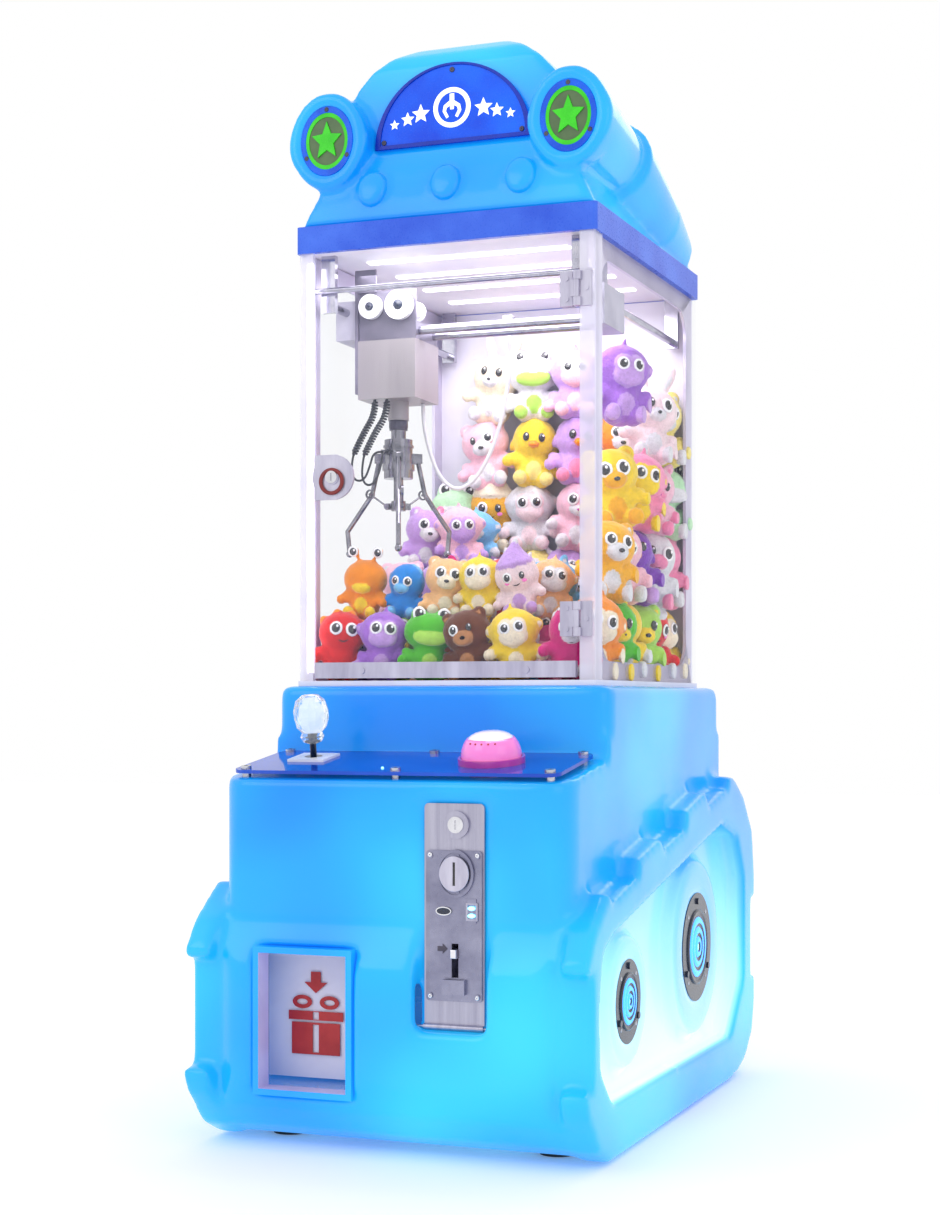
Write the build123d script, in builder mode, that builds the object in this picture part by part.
"""Claw crane machine: a moulded cabinet with a glass prize case, a two-axis
gantry with a three-finger claw, hinged doors, and a pile of plush prizes.

Units are millimetres. +X is the machine's right seen from the front, +Y is
its back, +Z is up. The origin is on the floor under the middle of the
machine. Heights and depths of most pieces are given from the bottom edge of
the glass case, through Y() and Z()."""
import os
from math import atan, cos, pi, radians, sin, tan

from build123d import *

os.makedirs("parts", exist_ok=True)

# ---------------------------------------------------------------- dimensions
case_y = 37.0          # middle of the glass case behind the machine's middle
deck_z = 523.0         # deck top above the floor
body_half = 210.0      # half width of the moulded base
pod_half = 240.0       # half width over the track covers
case_w, case_d, case_h = 374.0, 444.0, 521.0   # glass case outside
glass_t = 5.0
sheet_t = 3.0          # folded sheet metal
panel_slope = atan(0.1443)   # tilt of the console top
console_front_z = -107.0     # console top at its front edge
door_hinge_x, door_hinge_y = 166.0, -227.0
trolley_x, trolley_y = -104.0, -112.0    # parked claw axis
rod_z, rail_z = 436.0, 462.0
rod_r = 5.0
drum_r, travel_pulley_r, hoist_pulley_r = 9.0, 15.0, 19.0
arm_pivot_r, arm_pivot_z = 27.0, 285.0
finger_path = [(27.0, 285.0), (38.0, 240.0), (74.0, 195.0), (71.0, 167.0)]
link_hub_r, link_hub_z = 14.0, 224.0
arm_azimuths = {"front": -67.0, "right": 53.0, "left": 173.0}
fit = 0.05             # radial running clearance


def Y(v):
    return v + case_y


def Z(v):
    return v + deck_z


def block(x, y, z, mode=Mode.ADD):
    """A box between two x, two y and two z values, y and z from the case."""
    with Locations(((x[0] + x[1]) / 2, Y((y[0] + y[1]) / 2), Z((z[0] + z[1]) / 2))):
        Box(abs(x[1] - x[0]), abs(y[1] - y[0]), abs(z[1] - z[0]), mode=mode)


def bar(p, q, r, mode=Mode.ADD):
    """A round bar from p to q, both measured from the case."""
    a = Vector(p[0], Y(p[1]), Z(p[2]))
    b = Vector(q[0], Y(q[1]), Z(q[2]))
    with Locations(Plane(origin=a, z_dir=b - a)):
        Cylinder(r, (b - a).length, align=(Align.CENTER, Align.CENTER, Align.MIN), mode=mode)


def ball(p, r, mode=Mode.ADD):
    with Locations((p[0], Y(p[1]), Z(p[2]))):
        Sphere(r, mode=mode)


def side_pts(points):
    """Side-view points (y, z) from the case, in row coordinates."""
    return [(Y(a), Z(b)) for a, b in points]


def route(points):
    """Tangent-arc radii for a cord's route, one for each inner point."""
    v = [Vector(p[0], Y(p[1]), Z(p[2])) for p in points]
    radii = []
    for a, b, c in zip(v, v[1:], v[2:]):
        turn = radians((b - a).get_angle(c - b))
        radii.append(0.45 * min((b - a).length, (c - b).length) / tan(turn / 2))
    print("cord radii", [round(r, 1) for r in radii])
    return v, radii


# --------------------------------------------------------- moulded base shell
with BuildPart() as lower_form:
    with BuildSketch(Plane.YZ.offset(-body_half)):
        with BuildLine():
            Polyline(side_pts([(-380, -262), (-388, -284), (-402, -312), (-405, -345), (-405, -440),
                               (-397, -472), (-371, -500), (-335, -515), (290, -515), (300, -505),
                               (300, -262)]), close=True)
        make_face()
    extrude(amount=2 * body_half)
    with BuildSketch(Plane.XY.offset(Z(-530))):
        with Locations((0, Y((-405 + 300) / 2))):
            RectangleRounded(2 * body_half, 705, 38)
    extrude(amount=300, mode=Mode.INTERSECT)

with BuildPart() as console_form:
    with BuildSketch(Plane.YZ.offset(-body_half)):
        with BuildLine():
            Polyline(side_pts([(-379, -275), (-384, -220), (-388, -150), (-389, console_front_z),
                               (-240, console_front_z + 149 * 0.1443), (-240, -60), (263, -60),
                               (263, -125), (300, -160), (300, -275)]), close=True)
        make_face()
    extrude(amount=2 * body_half)
    with BuildSketch(Plane.XY.offset(Z(-290))):
        with Locations((0, Y((-389 + 300) / 2))):
            RectangleRounded(2 * body_half, 689, 38)
    extrude(amount=260, mode=Mode.INTERSECT)

with BuildPart() as deck_form:
    block((-body_half, body_half), (-240, 263), (-110, 0))
    fillet(deck_form.edges().filter_by(Axis.Z), radius=20)
    fillet(deck_form.faces().sort_by(Axis.Z)[-1].edges(), radius=10)

with BuildPart() as base_shell:
    add(lower_form.part)
    add(console_form.part)
    add(deck_form.part)
    # hollow inside, about 7 mm wall at the sides
    block((-203, 203), (-388, 292), (-466, -325), mode=Mode.SUBTRACT)
    block((-203, 203), (-362, 292), (-499, -465), mode=Mode.SUBTRACT)
    block((-203, 203), (-328, 292), (-508, -498), mode=Mode.SUBTRACT)
    block((-203, 203), (-371, 292), (-326, -170), mode=Mode.SUBTRACT)
    block((-203, 203), (-371, 255), (-171, -118), mode=Mode.SUBTRACT)
    block((-203, 203), (-232, 255), (-119, -8), mode=Mode.SUBTRACT)
    # prize door, coin door, prize hole, console holes, rear openings
    block((-157, -36), (-420, -360), (-459, -293), mode=Mode.SUBTRACT)
    block((37, 121), (-420, -360), (-378, -122), mode=Mode.SUBTRACT)
    block((-175, -67), (-113, -7), (-12, 5), mode=Mode.SUBTRACT)
    bar((-130, -298, -130), (-130, -306, -70), 26, mode=Mode.SUBTRACT)
    bar((96, -310, -130), (96, -319, -70), 31, mode=Mode.SUBTRACT)
    block((-152, 152), (280, 310), (-470, -200), mode=Mode.SUBTRACT)
    block((163, 193), (280, 310), (-318, -292), mode=Mode.SUBTRACT)
    block((168, 188), (280, 310), (-282, -258), mode=Mode.SUBTRACT)
    # rear hinge knuckles and pins, coin door bearings
    for z1, z2 in ((-460, -410), (-260, -210)):
        bar((-156, 304, z1), (-156, 304, z2), 2)
        for a, b in ((z1, z1 + 9.4), (z2 - 9.4, z2)):
            bar((-156, 304, a), (-156, 304, b), 4)
            block((-172, -157), (299, 303), (a, b))
    block((37, 50), (-382, -371), (-378, -122))
    block((108, 121), (-382, -371), (-378, -122))
    block((37, 121), (-382, -371), (-378, -365))
    block((37, 121), (-382, -371), (-136, -122))
    bar((30, -388, -373.5), (128, -388, -373.5), 1.6 + fit, mode=Mode.SUBTRACT)
base_shell.part.label = "base_shell"
export_step(base_shell.part, "parts/base_shell.step")

# ------------------------------------------------------------- track covers
track_outline = [(-332, -225), (-389, -266), (-412, -297), (-412, -308), (-392, -311), (-392, -430),
                 (-415, -433), (-415, -445), (-408, -460), (-371, -502), (-332, -520), (210, -520),
                 (250, -516), (290, -505), (328, -475), (341, -435), (341, -397), (320, -393),
                 (320, -292), (341, -288), (341, -248), (328, -192), (280, -146), (228, -120),
                 (199, -117), (191, -132), (94, -151), (81, -133), (-13, -153), (-17, -174),
                 (-113, -194), (-125, -179), (-219, -198), (-219, -217), (-317, -238)]
recess_outline = [(-310, -273), (163, -180), (240, -200), (277, -255), (277, -395), (205, -462),
                  (-317, -458), (-362, -415), (-366, -350), (-355, -292)]
hub_front, hub_rear = (-232.0, -358.0), (60.0, -328.0)

with BuildPart() as track_covers:
    with BuildSketch(Plane.YZ.offset(body_half)):
        with BuildLine():
            Polyline(side_pts(track_outline), close=True)
        make_face()
    extrude(amount=pod_half - body_half)
    with BuildSketch(Plane.YZ.offset(body_half + 5)) as recess_sk:
        with BuildLine():
            Polyline(side_pts(recess_outline), close=True)
        make_face()
        fillet(recess_sk.vertices(), radius=26)
    extrude(amount=40, mode=Mode.SUBTRACT)
    for (hy, hz), boss, ring, out in ((hub_front, 80, 48, 21), (hub_rear, 115, 68, 23)):
        with BuildSketch(Plane.YZ.offset(body_half + 5)):
            with Locations((Y(hy), Z(hz))):
                Circle(boss)
        extrude(amount=out - 5, taper=22)
        with BuildSketch(Plane.YZ.offset(body_half + out)):
            with Locations((Y(hy), Z(hz))):
                Circle(ring)
        extrude(amount=-6, mode=Mode.SUBTRACT)
    mirror(about=Plane.YZ)
track_covers.part.label = "track_covers"
export_step(track_covers.part, "parts/track_covers.step")


with BuildPart() as wheel_lights:
    for side in (1, -1):
        for (hy, hz), ring, lens, out in ((hub_front, 48, 33, 21), (hub_rear, 68, 47, 23)):
            x1 = side * (body_half + out - 6)
            x2 = side * (body_half + out - 1)
            bar((x1, hy, hz), (x2, hy, hz), ring)
            bar((x2 - 2 * side, hy, hz), (x2 + side, hy, hz), lens, mode=Mode.SUBTRACT)
            bar((x2 - 3 * side, hy, hz), (x2, hy, hz), lens * 0.3)
            for k in range(3):
                a = radians(90 + 120 * k)
                ry, rz = hy + (ring + lens) / 2 * cos(a), hz + (ring + lens) / 2 * sin(a)
                bar((x2 - side, ry, rz), (x2 + side * 2.5, ry, rz), 4)
wheel_lights.part.label = "wheel_lights"
export_step(wheel_lights.part, "parts/wheel_lights.step")


# ------------------------------------------------------ inside the base

with BuildPart() as rubber_feet:
    for fx in (-165, 165):
        for fy in (-290, 240):
            bar((fx, fy, -523), (fx, fy, -515), 20)
rubber_feet.part.label = "rubber_feet"
export_step(rubber_feet.part, "parts/rubber_feet.step")

with BuildPart() as base_fittings:
    block((-195, 180), (130, 280), (-508, -505))
    block((-190, -110), (150, 270), (-506, -455))
    block((20, 170), (140, 255), (-499, -497))
    for bx in (28, 162):
        for by in (148, 247):
            bar((bx, by, -506), (bx, by, -498), 3)
    for bx, by, w, d, h in ((60, 190, 26, 26, 4), (110, 180, 18, 30, 6), (140, 220, 22, 12, 10), (60, 235, 40, 10, 11)):
        block((bx - w / 2, bx + w / 2), (by - d / 2, by + d / 2), (-498, -497 + h))
base_fittings.part.label = "base_fittings"
export_step(base_fittings.part, "parts/base_fittings.step")



with BuildPart() as power_inlet:
    block((163, 193), (288, 300), (-318, -292))
    block((160, 196), (300, 303), (-321, -289))
    block((167, 189), (291, 304), (-314, -296), mode=Mode.SUBTRACT)
    for px in (172, 178, 184):
        block((px - 1, px + 1), (290, 295), (-308, -302))
    # rocker switch frame above the socket, on the same plate
    block((168, 188), (286, 300), (-282, -258))
    block((160, 196), (300, 302), (-289, -252))
    block((170, 186), (284, 303), (-279, -261), mode=Mode.SUBTRACT)
    bar((168, 296, -270), (188, 296, -270), 1.5)
power_inlet.part.label = "power_inlet"
export_step(power_inlet.part, "parts/power_inlet.step")


with BuildPart() as power_rocker:
    with BuildSketch(Plane.YZ.offset(170.5)):
        with BuildLine():
            Polyline(side_pts([(292, -277), (303.5, -277.5), (300.5, -270), (303.5, -262.5), (292, -263)]), close=True)
        make_face()
    extrude(amount=15)
    bar((165, 296, -270), (191, 296, -270), 1.5 + fit, mode=Mode.SUBTRACT)
power_rocker.part.label = "power_rocker"
export_step(power_rocker.part, "parts/power_rocker.step")

# rear service door, hinged on its left edge, with a turn lock
with BuildPart() as rear_door:
    block((-149, 149), (296, 300), (-467, -203))
    bar((-156, 304, -450), (-156, 304, -420), 4)
    bar((-156, 304, -250), (-156, 304, -220), 4)
    block((-156, -140), (300, 303), (-450, -420))
    block((-156, -140), (300, 303), (-250, -220))
    bar((-156, 304, -460), (-156, 304, -210), 2 + fit, mode=Mode.SUBTRACT)
    bar((130, 299, -335), (130, 306, -335), 9)
    block((128.5, 131.5), (304, 310), (-343, -327), mode=Mode.SUBTRACT)
    for k in range(7):
        block((-60, 60), (294, 302), (-400 + 9 * k, -396 + 9 * k), mode=Mode.SUBTRACT)
rear_door.part.label = "rear_door"
export_step(rear_door.part, "parts/rear_door.step")



# ------------------------------------------------------------ prize chute
with BuildPart() as prize_chute:
    block((-175, -67), (-113, -7), (-300, 0))
    with BuildSketch(Plane.YZ.offset(-175)):
        with BuildLine():
            Polyline(side_pts([(-371, -297), (-371, -462), (-7, -400), (-7, -297)]), close=True)
        make_face()
    extrude(amount=135)
    with BuildSketch(Plane.YZ.offset(-172)):
        with BuildLine():
            Polyline(side_pts([(-375, -300), (-375, -459.7), (-10, -397.5), (-10, -300)]), close=True)
        make_face()
    extrude(amount=129, mode=Mode.SUBTRACT)
    block((-172, -70), (-110, -10), (-310, 5), mode=Mode.SUBTRACT)
    bar((-173, -338, -307), (-42, -338, -307), 2.5)
prize_chute.part.label = "prize_chute"
export_step(prize_chute.part, "parts/prize_chute.step")

with BuildPart() as prize_door_frame:
    block((-157, -36), (-404, -378), (-459, -293))
    block((-150, -43), (-410, -370), (-452, -300), mode=Mode.SUBTRACT)
prize_door_frame.part.label = "prize_door_frame"
export_step(prize_door_frame.part, "parts/prize_door_frame.step")


with BuildPart() as prize_flap:
    bar((-168, -338, -307), (-47, -338, -307), 5)
    block((-168, -47), (-341, -338), (-448, -307))
    bar((-170, -338, -307), (-45, -338, -307), 2.5 + fit, mode=Mode.SUBTRACT)
prize_flap.part.label = "prize_flap"
export_step(prize_flap.part, "parts/prize_flap.step")

# -------------------------------------------------------------- coin door


with BuildPart() as coin_door:
    block((44, 114), (-386, -383), (-371, -130))
    fillet(coin_door.edges().filter_by(Axis.Y).group_by(Axis.Z)[-1], radius=5)
    bar((44, -388, -373.5), (114, -388, -373.5), 3.3)
    bar((32, -388, -373.5), (126, -388, -373.5), 1.6)
    bar((82, -389.5, -153), (82, -385, -153), 15)
    bar((82, -392, -153), (82, -380, -153), 9 + fit, mode=Mode.SUBTRACT)
    block((56, 103), (-390, -380), (-335, -190), mode=Mode.SUBTRACT)
coin_door.part.label = "coin_door"
export_step(coin_door.part, "parts/coin_door.step")

with BuildPart() as coin_selector:
    block((47, 112), (-389, -386), (-345, -181))
    fillet(coin_selector.edges().filter_by(Axis.Y), radius=4)
    # slot ring, return cup, and the mechanism's body behind the door
    with BuildSketch(Plane.XZ.offset(-Y(-388))):
        with Locations((82, Z(-206))):
            Ellipse(21.5, 26)
    extrude(amount=4)
    with BuildSketch(Plane.XZ.offset(-Y(-390.5))):
        with Locations((82, Z(-206))):
            Ellipse(18.5, 23)
    extrude(amount=3, mode=Mode.SUBTRACT)
    block((77, 87), (-392, -388), (-227, -185))
    block((68, 94), (-395, -388), (-337, -321))
    block((71, 91), (-393, -390), (-334, -318), mode=Mode.SUBTRACT)
    block((56.3, 102.7), (-387, -338), (-334.7, -190.3))
    block((80.4, 83.6), (-396, -345), (-225, -187), mode=Mode.SUBTRACT)
    block((77, 85), (-392, -360), (-319, -282), mode=Mode.SUBTRACT)
    for lz in (-236, -246, -256):
        block((96, 106), (-390.5, -388.5), (lz - 3, lz + 3))
    for sx in (52, 107):
        for sz in (-187, -339):
            bar((sx, -390.6, sz), (sx, -389, sz), 3)
coin_selector.part.label = "coin_selector"
export_step(coin_selector.part, "parts/coin_selector.step")





with BuildPart() as return_lever:
    block((77.5, 84.5), (-396, -372), (-298, -288))
    fillet(return_lever.faces().sort_by(Axis.Y)[0].edges(), radius=1.5)
return_lever.part.label = "return_lever"
export_step(return_lever.part, "parts/return_lever.step")


with BuildPart() as coin_lock:
    bar((82, -391, -153), (82, -375, -153), 9)
    block((81, 83), (-393, -388), (-158, -148), mode=Mode.SUBTRACT)
coin_lock.part.label = "coin_lock"
export_step(coin_lock.part, "parts/coin_lock.step")

# ---------------------------------------------------------- control panel
panel_n = Vector(0, -sin(panel_slope), cos(panel_slope))
panel_origin = Vector(0, Y(-312), Z(console_front_z + 77 * 0.1443)) + panel_n * 5
panel_plane = Plane(origin=panel_origin, x_dir=(1, 0, 0), z_dir=(panel_n.X, panel_n.Y, panel_n.Z))
stick_x, stick_v = -130.0, 12.0
button_x, button_v = 96.0, -2.0
screw_places = [(-182, -58), (3, -58), (184, -58), (-182, 58), (3, 58), (184, 58)]
standoff_sites = [(x, v) for x, v in screw_places]


def up(x, v, w1, w2, r, mode=Mode.ADD):
    """A cylinder square to the control panel, from w1 to w2 above its underside."""
    with Locations((x, v, (w1 + w2) / 2)):
        Cylinder(r, w2 - w1, mode=mode)


with BuildPart(panel_plane) as control_panel:
    with BuildSketch(panel_plane):
        RectangleRounded(392, 136, 14)
    extrude(amount=4)
    up(stick_x, stick_v, -1, 5, 14, mode=Mode.SUBTRACT)
    up(button_x, button_v, -1, 5, 26.5, mode=Mode.SUBTRACT)
    for sx, sv in standoff_sites:
        up(sx, sv, -1, 5, 3, mode=Mode.SUBTRACT)
control_panel.part.label = "control_panel"
export_step(control_panel.part, "parts/control_panel.step")

with BuildPart(panel_plane) as panel_standoffs:
    for sx, sv in standoff_sites:
        up(sx, sv, -5, 0, 5)
        up(sx, sv, -1, 5, 3)
        up(sx, sv, 4, 7.5, 6)
        up(sx, sv, 6, 8.5, 2.4, mode=Mode.SUBTRACT)
panel_standoffs.part.label = "panel_standoffs"
export_step(panel_standoffs.part, "parts/panel_standoffs.step")

with BuildPart(panel_plane) as joystick_base:
    with Locations((stick_x, stick_v, 5.5)):
        Box(46, 46, 3)
    up(stick_x, stick_v, 0, 4, 14)
    up(stick_x, stick_v, -34, 0, 22)
    up(stick_x, stick_v, -35, -3, 19, mode=Mode.SUBTRACT)
    up(stick_x, stick_v, -5, 8, 10.5, mode=Mode.SUBTRACT)
    with Locations(Location((stick_x, stick_v, -12), (0, 90, 0))):
        Cylinder(2 + fit, 50, mode=Mode.SUBTRACT)
joystick_base.part.label = "joystick_base"
export_step(joystick_base.part, "parts/joystick_base.step")

with BuildPart(panel_plane) as joystick_gimbal:
    up(stick_x, stick_v, -15.5, -8.5, 15.5)
    up(stick_x, stick_v, -16, -8, 12, mode=Mode.SUBTRACT)
    for s in (1, -1):
        with Locations(Location((stick_x + s * 17.6, stick_v, -12), (0, 90, 0))):
            Cylinder(2, 8.8)
    with Locations(Location((stick_x, stick_v, -12), (90, 0, 0))):
        Cylinder(2 + fit, 40, mode=Mode.SUBTRACT)
joystick_gimbal.part.label = "joystick_gimbal"
export_step(joystick_gimbal.part, "parts/joystick_gimbal.step")


with BuildPart(panel_plane) as joystick:
    with BuildSketch(Plane(origin=panel_plane.from_local_coords((stick_x, stick_v, 0)), x_dir=(1, 0, 0), z_dir=(0, -cos(panel_slope), -sin(panel_slope)))):
        with BuildLine():
            Polyline((0, 20), (8, 20), (10, 23), (11, 33), (17, 41), (20, 50), (20.5, 58), (17, 68),
                     (11, 75), (5, 78.5), (0, 79), close=True)
        make_face()
    revolve(axis=Axis(panel_plane.from_local_coords((stick_x, stick_v, 0)), panel_n))
    up(stick_x, stick_v, -26, 24, 4)
    with Locations((stick_x, stick_v, -12)):
        Sphere(7)
    with Locations(Location((stick_x, stick_v, -12), (90, 0, 0))):
        Cylinder(2, 31)
joystick.part.label = "joystick"
export_step(joystick.part, "parts/joystick.step")

with BuildPart(panel_plane) as button_housing:
    up(button_x, button_v, -28, 4, 26.5)
    up(button_x, button_v, 4, 5, 38)
    up(button_x, button_v, 4, 11, 38)
    up(button_x, button_v, 5, 12, 34.6, mode=Mode.SUBTRACT)
    up(button_x, button_v, -30, 6, 10 + fit, mode=Mode.SUBTRACT)
button_housing.part.label = "button_housing"
export_step(button_housing.part, "parts/button_housing.step")

with BuildPart(panel_plane) as drop_button:
    with BuildSketch(Plane(origin=panel_plane.from_local_coords((button_x, button_v, 0)), x_dir=(1, 0, 0), z_dir=(0, -cos(panel_slope), -sin(panel_slope)))):
        with BuildLine():
            Polyline((0, -24), (10, -24), (10, 9.6), (34, 9.6), (34, 14), (32.5, 21), (29, 28), (23, 34),
                     (14, 38.5), (7, 40), (0, 40.4), close=True)
        make_face()
    revolve(axis=Axis(panel_plane.from_local_coords((button_x, button_v, 0)), panel_n))
drop_button.part.label = "drop_button"
export_step(drop_button.part, "parts/drop_button.step")

# ------------------------------------------------------------- glass case
hw, hd = case_w / 2, case_d / 2          # 187, 222
hole_x, hole_y = (-172.0, -70.0), (-110.0, -10.0)

with BuildPart() as playfield_floor:
    block((-189, 189), (-224, 224), (0, 6))
    fillet(playfield_floor.edges().filter_by(Axis.Z), radius=4)
    block(hole_x, hole_y, (-1, 7), mode=Mode.SUBTRACT)
playfield_floor.part.label = "playfield_floor"
export_step(playfield_floor.part, "parts/playfield_floor.step")


with BuildPart() as front_posts:
    block((-187, -168.5), (-222, -216), (6, 521))
    block((-187, -181), (-216, -194), (6, 521))
    fillet(front_posts.edges().filter_by(Axis.Z).group_by(Axis.X)[0].group_by(Axis.Y)[0], radius=3)
    mirror(about=Plane.YZ)
front_posts.part.label = "front_posts"
export_step(front_posts.part, "parts/front_posts.step")



with BuildPart() as side_glass:
    block((-187, -182), (-194, 222), (6, 521))
    block((182, 187), (-194, 222), (6, 521))
side_glass.part.label = "side_glass"
export_step(side_glass.part, "parts/side_glass.step")


with BuildPart() as side_frames:
    with BuildSketch(Plane.YZ.offset(-182)):
        with Locations((Y(11), Z(263.5))):
            Rectangle(410, 515)
        with Locations((Y(4), Z(263.5))):
            RectangleRounded(372, 470, 34, mode=Mode.SUBTRACT)
    extrude(amount=4)
    mirror(about=Plane.YZ)
side_frames.part.label = "side_frames"
export_step(side_frames.part, "parts/side_frames.step")


with BuildPart() as inner_panels:
    block((-182, 182), (216, 222), (6, 521))
    for k in range(6):
        for s in (-1, 1):
            block((s * 90 - 40, s * 90 + 40), (214, 216.5), (440 + 8 * k, 443 + 8 * k), mode=Mode.SUBTRACT)
    block((-182, 182), (-217, 217), (522, 525))
inner_panels.part.label = "inner_panels"
export_step(inner_panels.part, "parts/inner_panels.step")

with BuildPart() as header_band:
    block((-190, 190), (-225, 225), (521, 553))
    fillet(header_band.edges().filter_by(Axis.Z), radius=5)
    block((-182, 182), (-217, 217), (515, 560), mode=Mode.SUBTRACT)
header_band.part.label = "header_band"
export_step(header_band.part, "parts/header_band.step")


with BuildPart() as led_strips:
    for i in range(4):
        block((-130, 130), (-150 + 90 * i, -136 + 90 * i), (520.4, 522))
        for k in range(12):
            bar((-121 + 22 * k, -143 + 90 * i, 519.4), (-121 + 22 * k, -143 + 90 * i, 521), 3.5)
    block((-179, -171), (-216, -213.5), (16, 510))
    for k in range(24):
        block((-177.5, -172.5), (-214, -212), (22 + 20.4 * k, 27 + 20.4 * k))
led_strips.part.label = "led_strips"
export_step(led_strips.part, "parts/led_strips.step")

# front glass door on a vertical hinge line at its right edge
with BuildPart() as door_glass:
    block((-166, 164), (-222, -217), (28, 516))
    bar((-142, -224, 250), (-142, -214, 250), 9, mode=Mode.SUBTRACT)
door_glass.part.label = "door_glass"
export_step(door_glass.part, "parts/door_glass.step")

with BuildPart() as door_fittings:
    block((-166, 164), (-223.5, -215.5), (9, 28))
    for sx in (-104, 104):
        bar((sx, -225, 18), (sx, -223.5, 18), 4)
    with BuildSketch(Plane.XZ.offset(-Y(-222))):
        with Locations((-153, Z(250))):
            Rectangle(24, 54)
        with Locations((-141, Z(250))):
            Circle(27)
            Rectangle(10, 54)
    extrude(amount=3.5)
    bar((-142, -227, 250), (-142, -217, 250), 9)
    bar((-142, -229, 250), (-142, -208, 250), 7.5 + fit, mode=Mode.SUBTRACT)
    for zc in (454, 76):
        block((146, 161), (-226, -222), (zc - 20, zc + 20))
        block((146, 161), (-217, -214), (zc - 20, zc + 20))
        block((160, 166), (-230, -226), (zc - 9.7, zc + 9.7))
        bar((door_hinge_x, door_hinge_y, zc - 9.7), (door_hinge_x, door_hinge_y, zc + 9.7), 4)
        bar((door_hinge_x, door_hinge_y, zc - 12), (door_hinge_x, door_hinge_y, zc + 12), 2 + fit, mode=Mode.SUBTRACT)
        for sz in (-12, 12):
            bar((154, -227.2, zc + sz), (154, -226, zc + sz), 3)
door_fittings.part.label = "door_fittings"
export_step(door_fittings.part, "parts/door_fittings.step")


with BuildPart() as door_hinge_mounts:
    for zc in (454, 76):
        block((171, 184), (-226, -222), (zc - 20, zc + 20))
        bar((door_hinge_x, door_hinge_y, zc - 20), (door_hinge_x, door_hinge_y, zc + 20), 2)
        for a, b in ((zc - 20, zc - 10), (zc + 10, zc + 20)):
            bar((door_hinge_x, door_hinge_y, a), (door_hinge_x, door_hinge_y, b), 4)
            block((166, 172), (-230, -224), (a, b))
        bar((178, -227.2, zc), (178, -226, zc), 3)
door_hinge_mounts.part.label = "door_hinge_mounts"
export_step(door_hinge_mounts.part, "parts/door_hinge_mounts.step")


with BuildPart() as door_lock:
    bar((-142, -229, 250), (-142, -212, 250), 7.5)
    block((-146, -138), (-212, -209.5), (232, 257))
    block((-143, -141), (-231, -226.5), (245, 255), mode=Mode.SUBTRACT)
door_lock.part.label = "door_lock"
export_step(door_lock.part, "parts/door_lock.step")


# ---------------------------------------------------------------- top cap
lamp_x, lamp_z = 153.0, 656.0
barrel_axis = [(-215, 656), (-60, 641), (90, 601), (195, 578)]
barrel_radii = [(52, 45), (54, 47), (48, 37)]

with BuildPart() as top_form:
    with BuildSketch(Plane.XZ.offset(-Y(230))) as arch:
        with BuildLine():
            Polyline((-185, Z(553)), (185, Z(553)), (164, Z(598)), (152, Z(645)), (149, Z(672)), (140, Z(698)),
                     (126, Z(721.6)), (106, Z(743.2)), (80, Z(761.5)), (52, Z(773.7)), (26, Z(780)), (0, Z(782)),
                     (-26, Z(780)), (-52, Z(773.7)), (-80, Z(761.5)), (-106, Z(743.2)), (-126, Z(721.6)),
                     (-140, Z(698)), (-149, Z(672)), (-152, Z(645)), (-164, Z(598)), close=True)
        make_face()
    extrude(amount=460)
    with BuildSketch(Plane.YZ.offset(-200)):
        with BuildLine():
            Polyline(side_pts([(-220, 553), (-217, 575), (-205, 618), (-196, 637), (-188, 645), (-187, 742),
                               (-180, 757), (-160, 770), (-120, 780), (-80, 782), (-20, 774), (60, 744),
                               (130, 702), (185, 655), (212, 606), (220, 553)]), close=True)
        make_face()
    extrude(amount=400, mode=Mode.INTERSECT)

with BuildPart() as top_cap:
    add(top_form.part)
    for s in (1, -1):
        for (p, q), (r1, r2) in zip(zip(barrel_axis, barrel_axis[1:]), barrel_radii):
            a = Vector(s * lamp_x, Y(p[0]), Z(p[1]))
            b = Vector(s * lamp_x, Y(q[0]), Z(q[1]))
            with Locations(Plane(origin=a, z_dir=b - a)):
                Cone(r1, r2, (b - a).length, align=(Align.CENTER, Align.CENTER, Align.MIN))
        with BuildSketch(Plane.XZ.offset(-Y(-190))):
            with Locations((s * lamp_x, Z(lamp_z))):
                Ellipse(48.5, 58.5)
        extrude(amount=30)
        with BuildSketch(Plane.XZ.offset(-Y(-212))):
            with Locations((s * lamp_x, Z(lamp_z))):
                Ellipse(34.5, 42.5)
        extrude(amount=10, mode=Mode.SUBTRACT)
    for bx in (-94, 0, 94):
        with BuildSketch(Plane.XZ.offset(-Y(-196))):
            with Locations((bx, Z(591))):
                Ellipse(18, 21.5)
        extrude(amount=22)
    block((-140, 140), (-172, 176), (540, 600), mode=Mode.SUBTRACT)
    block((-118, 118), (-165, 150), (599, 640), mode=Mode.SUBTRACT)
    block((-100, 100), (-165, 90), (639, 700), mode=Mode.SUBTRACT)
    # nothing of the cap hangs below the band's top
    block((-260, 260), (-300, 300), (400, 553), mode=Mode.SUBTRACT)
top_cap.part.label = "top_cap"
export_step(top_cap.part, "parts/top_cap.step")

with BuildPart() as marquee_panel:
    with BuildSketch(Plane.XZ.offset(-Y(-188))):
        with Locations((0, Z(645))):
            Ellipse(99, 95)
        with Locations((0, Z(645 - 60))):
            Rectangle(220, 120, mode=Mode.SUBTRACT)
    extrude(amount=5)
marquee_panel.part.label = "marquee_panel"
export_step(marquee_panel.part, "parts/marquee_panel.step")


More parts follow.
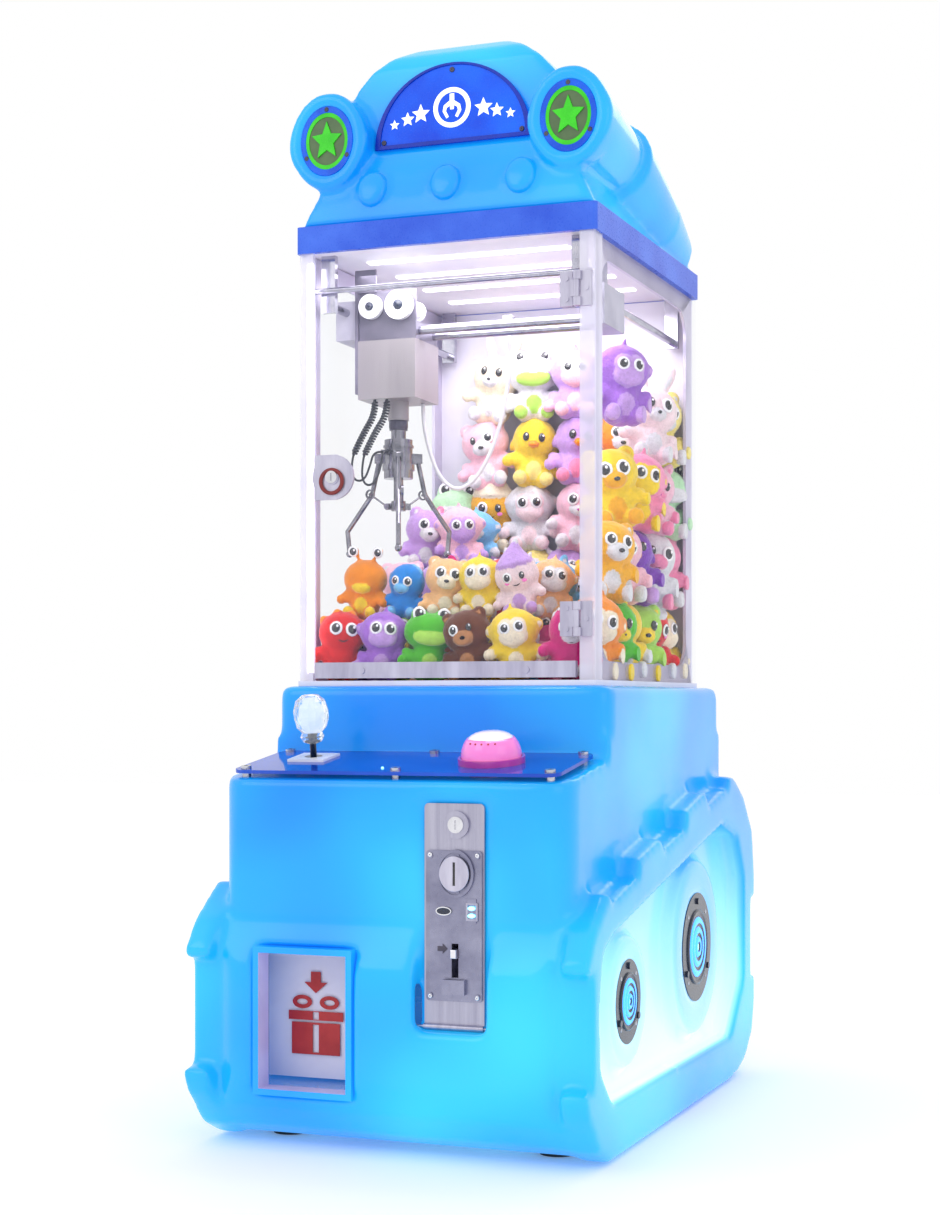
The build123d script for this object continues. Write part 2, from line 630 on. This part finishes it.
with BuildPart() as lamp_lenses:
    for s in (1, -1):
        with BuildSketch(Plane.XZ.offset(-Y(-212))):
            with Locations((s * lamp_x, Z(lamp_z))):
                Ellipse(34.5, 42.5)
        extrude(amount=4)
        for k in range(3):
            a = radians(90 + 120 * k)
            bar((s * lamp_x + 30.5 * cos(a), -216, lamp_z + 38 * sin(a)), (s * lamp_x + 30.5 * cos(a), -218, lamp_z + 38 * sin(a)), 2.6)
lamp_lenses.part.label = "lamp_lenses"
export_step(lamp_lenses.part, "parts/lamp_lenses.step")


# ----------------------------------------------------------------- gantry
with BuildPart() as side_rails:
    for s in (1, -1):
        bar((s * 160, -190, rail_z), (s * 160, 196, rail_z), rod_r)
        block((s * 160 - 9, s * 160 + 9), (-198, -190), (rail_z - 9, 522))
        block((s * 160 - 9, s * 160 + 9), (196, 204), (rail_z - 9, 522))
    bar((-178, -205, 478), (178, -205, 478), 3.5)
side_rails.part.label = "side_rails"
export_step(side_rails.part, "parts/side_rails.step")


with BuildPart() as bridge_carriages:
    for s in (1, -1):
        block((s * 160 - 14, s * 160 + 14), (-145, -64), (428, 476))
        bar((s * 160, -150, rail_z), (s * 160, -60, rail_z), rod_r + fit, mode=Mode.SUBTRACT)
    bar((160, -128, 475), (160, -128, 504), 12)
    bar((160, -128, 504), (160, -128, 508), 4)
bridge_carriages.part.label = "bridge_carriages"
export_step(bridge_carriages.part, "parts/bridge_carriages.step")

with BuildPart() as bridge_rods:
    for ry, rz, rr in ((-135, rod_z, rod_r), (-90, rod_z, rod_r), (-70, 452, 3)):
        bar((-146, ry, rz), (146, ry, rz), rr)
    block((21, 33), (-76, -64), (445, 459))
bridge_rods.part.label = "bridge_rods"
export_step(bridge_rods.part, "parts/bridge_rods.step")



tx, ty = trolley_x, trolley_y
with BuildPart() as trolley_box:
    block((tx - 38, tx + 38), (-150, -74), (353, 425))
    block((tx - 36, tx + 36), (-148, -76), (355, 430), mode=Mode.SUBTRACT)
    bar((tx, ty, 330), (tx, ty, 420), 13)
    bar((tx, ty, 328), (tx, ty, 422), 11.2 + fit, mode=Mode.SUBTRACT)
trolley_box.part.label = "trolley_box"
export_step(trolley_box.part, "parts/trolley_box.step")

with BuildPart() as trolley_carriage:
    block((tx - 38, tx + 38), (-147, -78), (425, 447))
    block((tx - 38, tx + 38), (-147, -144), (447, 486))
    block((tx - 20, tx + 20), (-127, -99), (420, 450), mode=Mode.SUBTRACT)
    for ry in (-135, -90):
        bar((tx - 40, ry, rod_z), (tx + 40, ry, rod_z), rod_r + fit, mode=Mode.SUBTRACT)
    bar((tx + 18, -150, 466), (tx + 18, -140, 466), 3 + fit, mode=Mode.SUBTRACT)
    bar((tx - 20, -144, 466), (tx - 20, -158, 466), 3)
    bar((tx - 20, -145, 466), (tx - 20, -104, 466), 13)
    # dark side bracket, which carries the limit switch
    with BuildSketch(Plane.YZ.offset(tx - 42)):
        with BuildLine():
            Polyline(side_pts([(-150, 360), (-128, 360), (-96, 425), (-96, 490), (-150, 490)]), close=True)
        make_face()
    extrude(amount=4)
    block((tx - 42, tx - 14), (-150, -147), (484, 512))
    bar((tx - 45, -135, rod_z), (tx - 35, -135, rod_z), rod_r + 1.5, mode=Mode.SUBTRACT)
trolley_carriage.part.label = "trolley_carriage"
export_step(trolley_carriage.part, "parts/trolley_carriage.step")



with BuildPart() as travel_pulley:
    bar((tx - 20, -156, 466), (tx - 20, -148, 466), travel_pulley_r)
    bar((tx - 20, -160, 466), (tx - 20, -146, 466), 3 + fit, mode=Mode.SUBTRACT)
travel_pulley.part.label = "travel_pulley"
export_step(travel_pulley.part, "parts/travel_pulley.step")

with BuildPart() as winch_drum:
    bar((tx + 18, -156, 466), (tx + 18, -148, 466), hoist_pulley_r - 1)
    bar((tx + 18, -156, 466), (tx + 18, -96, 466), 3)
    bar((tx + 18, -140, 466), (tx + 18, -100, 466), drum_r)
    bar((tx + 18, -143, 466), (tx + 18, -140, 466), drum_r + 4)
    bar((tx + 18, -100, 466), (tx + 18, -97, 466), drum_r + 4)
winch_drum.part.label = "winch_drum"
export_step(winch_drum.part, "parts/winch_drum.step")


with BuildPart() as hoist_sleeve_mid:
    bar((tx, ty, 318), (tx, ty, 405), 11.2)
    bar((tx, ty, 316), (tx, ty, 407), 9.2 + fit, mode=Mode.SUBTRACT)
hoist_sleeve_mid.part.label = "hoist_sleeve_mid"
export_step(hoist_sleeve_mid.part, "parts/hoist_sleeve_mid.step")



def polar(r, azimuth, side=0.0):
    """A point at radius r from the claw axis, shifted sideways by side."""
    a = radians(azimuth)
    return (tx + r * cos(a) - side * sin(a), ty + r * sin(a) + side * cos(a))


gland_az = (-127.0, -100.0)
with BuildPart() as claw_head:
    bar((tx, ty, 275), (tx, ty, 306), 17.5)
    bar((tx, ty, 268), (tx, ty, 275), 20)
    bar((tx, ty, 258), (tx, ty, 268), 18)
    bar((tx, ty, 296), (tx, ty, 299), 19)
    bar((tx, ty, 300), (tx, ty, 392), 9.2)
    for az in arm_azimuths.values():
        for s in (1, -1):
            a, b = polar(14, az, s * 4.7), polar(31, az, s * 4.7)
            mid = polar(22.5, az, s * 4.7)
            with Locations(Location((mid[0], Y(mid[1]), Z(284)), (0, 0, az))):
                Box(17, 2.8, 12)
        p, q = polar(arm_pivot_r, az, -6.1), polar(arm_pivot_r, az, 6.1)
        bar((p[0], p[1], arm_pivot_z), (q[0], q[1], arm_pivot_z), 1.5)
    for az in gland_az:
        p, q = polar(12, az), polar(24, az)
        bar((p[0], p[1], 290), (q[0], q[1], 290), 3)
    bar((tx, ty, 250), (tx, ty, 297), 6 + fit, mode=Mode.SUBTRACT)
claw_head.part.label = "claw_head"
export_step(claw_head.part, "parts/claw_head.step")

with BuildPart() as claw_plunger:
    bar((tx, ty, 219), (tx, ty, 282), 6)
    bar((tx, ty, 218), (tx, ty, 230), 9)
    for az in arm_azimuths.values():
        mid = polar(10.5, az, 0.9)
        with Locations(Location((mid[0], Y(mid[1]), Z(link_hub_z)), (0, 0, az))):
            Box(13, 4.2, 8)
        p, q = polar(link_hub_r, az, -1.0), polar(link_hub_r, az, 7.0)
        bar((p[0], p[1], link_hub_z), (q[0], q[1], link_hub_z), 1.5)
claw_plunger.part.label = "claw_plunger"
export_step(claw_plunger.part, "parts/claw_plunger.step")


def finger(az, thick=3.0):
    """One bent finger: an eye on the head's pin, then a round rod to its tip."""
    pts = [polar(r, az) + (z,) for r, z in finger_path]
    for a, b in zip(pts, pts[1:]):
        bar(a, b, thick)
    for p in pts[1:3]:
        ball(p, thick)
    ball(pts[3], 4.5)
    p, q = polar(arm_pivot_r, az, -2.9), polar(arm_pivot_r, az, 2.9)
    bar((p[0], p[1], arm_pivot_z), (q[0], q[1], arm_pivot_z), 4.5)
    p, q = polar(38.0, az, 0.0), polar(38.0, az, 6.6)
    bar((p[0], p[1], 240), (q[0], q[1], 240), 1.5)
    p, q = polar(arm_pivot_r, az, -8), polar(arm_pivot_r, az, 8)
    bar((p[0], p[1], arm_pivot_z), (q[0], q[1], arm_pivot_z), 1.5 + fit, mode=Mode.SUBTRACT)


def link(az):
    """One flat link from the plunger's hub to the finger's elbow."""
    for rr, rz, ro in ((link_hub_r, link_hub_z, 3.6), (38.0, 240.0, 6.2)):
        p, q = polar(rr, az, 3.6), polar(rr, az, 6.4)
        bar((p[0], p[1], rz), (q[0], q[1], rz), ro)
    p, q = polar(link_hub_r, az, 5.0), polar(33.5, az, 5.0)
    bar((p[0], p[1], link_hub_z), (q[0], q[1], 237.2), 1.2)
    p, q = polar(link_hub_r, az, 0), polar(link_hub_r, az, 9)
    bar((p[0], p[1], link_hub_z), (q[0], q[1], link_hub_z), 1.5 + fit, mode=Mode.SUBTRACT)
    p, q = polar(38.0, az, 0), polar(38.0, az, 9)
    bar((p[0], p[1], 240), (q[0], q[1], 240), 4.6, mode=Mode.SUBTRACT)


with BuildPart() as finger_front:
    finger(arm_azimuths["front"])
finger_front.part.label = "finger_front"
export_step(finger_front.part, "parts/finger_front.step")

with BuildPart() as finger_right:
    finger(arm_azimuths["right"])
finger_right.part.label = "finger_right"
export_step(finger_right.part, "parts/finger_right.step")

with BuildPart() as finger_left:
    finger(arm_azimuths["left"])
finger_left.part.label = "finger_left"
export_step(finger_left.part, "parts/finger_left.step")

with BuildPart() as link_front:
    link(arm_azimuths["front"])
link_front.part.label = "link_front"
export_step(link_front.part, "parts/link_front.step")

with BuildPart() as link_right:
    link(arm_azimuths["right"])
link_right.part.label = "link_right"
export_step(link_right.part, "parts/link_right.step")

with BuildPart() as link_left:
    link(arm_azimuths["left"])
link_left.part.label = "link_left"
export_step(link_left.part, "parts/link_left.step")

# ------------------------------------------------------------------ cords
ga = [polar(24, az) for az in gland_az]
coil_a = [(-122, -143, 353), (-122, -143, 335), (-135, -150, 311), (-146, -155, 284)]
tail_a = [(-146, -155, 284), (-149, -157, 266), (-143, -156, 252), (-133, -150, 254),
          (-128, -145, 272), polar(35, gland_az[0]) + (290,), ga[0] + (290,)]
coil_b = [(-106, -143, 353), (-106, -143, 334), (-119, -154, 309), (-130, -159, 282)]
tail_b = [(-130, -159, 282), (-133, -161, 262), (-128, -161, 246), (-117, -158, 247),
          (-110, -154, 266), polar(35, gland_az[1]) + (290,), ga[1] + (290,)]
hose_pts = [(-80, -90, 353), (-80, -90, 330), (-75, -83, 296), (-64, -76, 262), (-44, -70, 244),
            (-22, -64, 256), (-4, -59, 286), (9, -56, 322), (18, -56, 360), (25, -60, 396), (27, -70, 424),
            (27, -70, 445)]


def cord(points, r):
    """A round cord along straight runs joined by tangent arcs."""
    v, radii = route(points)
    with BuildLine() as line:
        path = FilletPolyline(*v, radius=radii)
    with BuildSketch(Plane(origin=path @ 0, z_dir=path % 0)) as section:
        Circle(r)
    sweep(section.sketch, path=line.wires()[0])
    print("cord length", round(path.length, 1))


with BuildPart() as coil_cord_left:
    cord(coil_a, 4.5)
    cord(tail_a, 1.6)
coil_cord_left.part.label = "coil_cord_left"
export_step(coil_cord_left.part, "parts/coil_cord_left.step")

with BuildPart() as coil_cord_right:
    cord(coil_b, 4.5)
    cord(tail_b, 1.6)
coil_cord_right.part.label = "coil_cord_right"
export_step(coil_cord_right.part, "parts/coil_cord_right.step")

with BuildPart() as trolley_hose:
    cord(hose_pts, 2.5)
trolley_hose.part.label = "trolley_hose"
export_step(trolley_hose.part, "parts/trolley_hose.step")

# ------------------------------------------------------------ plush prizes
small, mid, large = (20, 25, 30), (24, 28, 36), (26, 30, 38)   # body r, head r, rise
level_small, level_mid, level_large = 75.5, 88.5, 94.5


def plush(x, y, z, size):
    """A plush prize as a body ball and a head ball, standing on z."""
    body_r, head_r, rise = size
    ball((x, y, z + body_r), body_r)
    ball((x, y, z + body_r + rise), head_r)


with BuildPart() as plush_front:
    for x in (-150, -92, -34, 24, 82, 140):
        plush(x, -184, 6.3, (23, 27, 34))
    for x in (-143, -91, -39, 13, 65):
        plush(x, -130, 6.3, small)
        plush(x, -130, 6.3 + level_small, small)
plush_front.part.label = "plush_front"
export_step(plush_front.part, "parts/plush_front.step")

with BuildPart() as plush_middle:
    for x in (-32, 25, 82):
        for y in (-74, -19, 36, 91):
            plush(x, y, 6.3, small)
            plush(x, y, 6.3 + level_small, small)
plush_middle.part.label = "plush_middle"
export_step(plush_middle.part, "parts/plush_middle.step")

with BuildPart() as plush_left:
    for x in (-147, -92):
        for y, levels in ((19, 2), (73, 3), (126, 3)):
            for k in range(levels):
                plush(x, y, 6.3 + level_small * k, small)
plush_left.part.label = "plush_left"
export_step(plush_left.part, "parts/plush_left.step")

with BuildPart() as plush_back:
    for x, levels in ((-147, 3), (-89, 5), (-31, 5), (27, 5), (85, 4)):
        for k in range(levels):
            plush(x, 182, 6.3 + level_mid * k, mid)
plush_back.part.label = "plush_back"
export_step(plush_back.part, "parts/plush_back.step")

with BuildPart() as plush_right:
    for y, heights in ((-122, (6.3,)), (-61, (6.3, 101)), (0, (6.3, 101, 196, 325)),
                       (61, (6.3, 101, 196)), (122, (6.3, 101, 196, 291)), (183, (6.3, 101, 196, 291))):
        for z in heights:
            plush(145, y, z, large)
plush_right.part.label = "plush_right"
export_step(plush_right.part, "parts/plush_right.step")
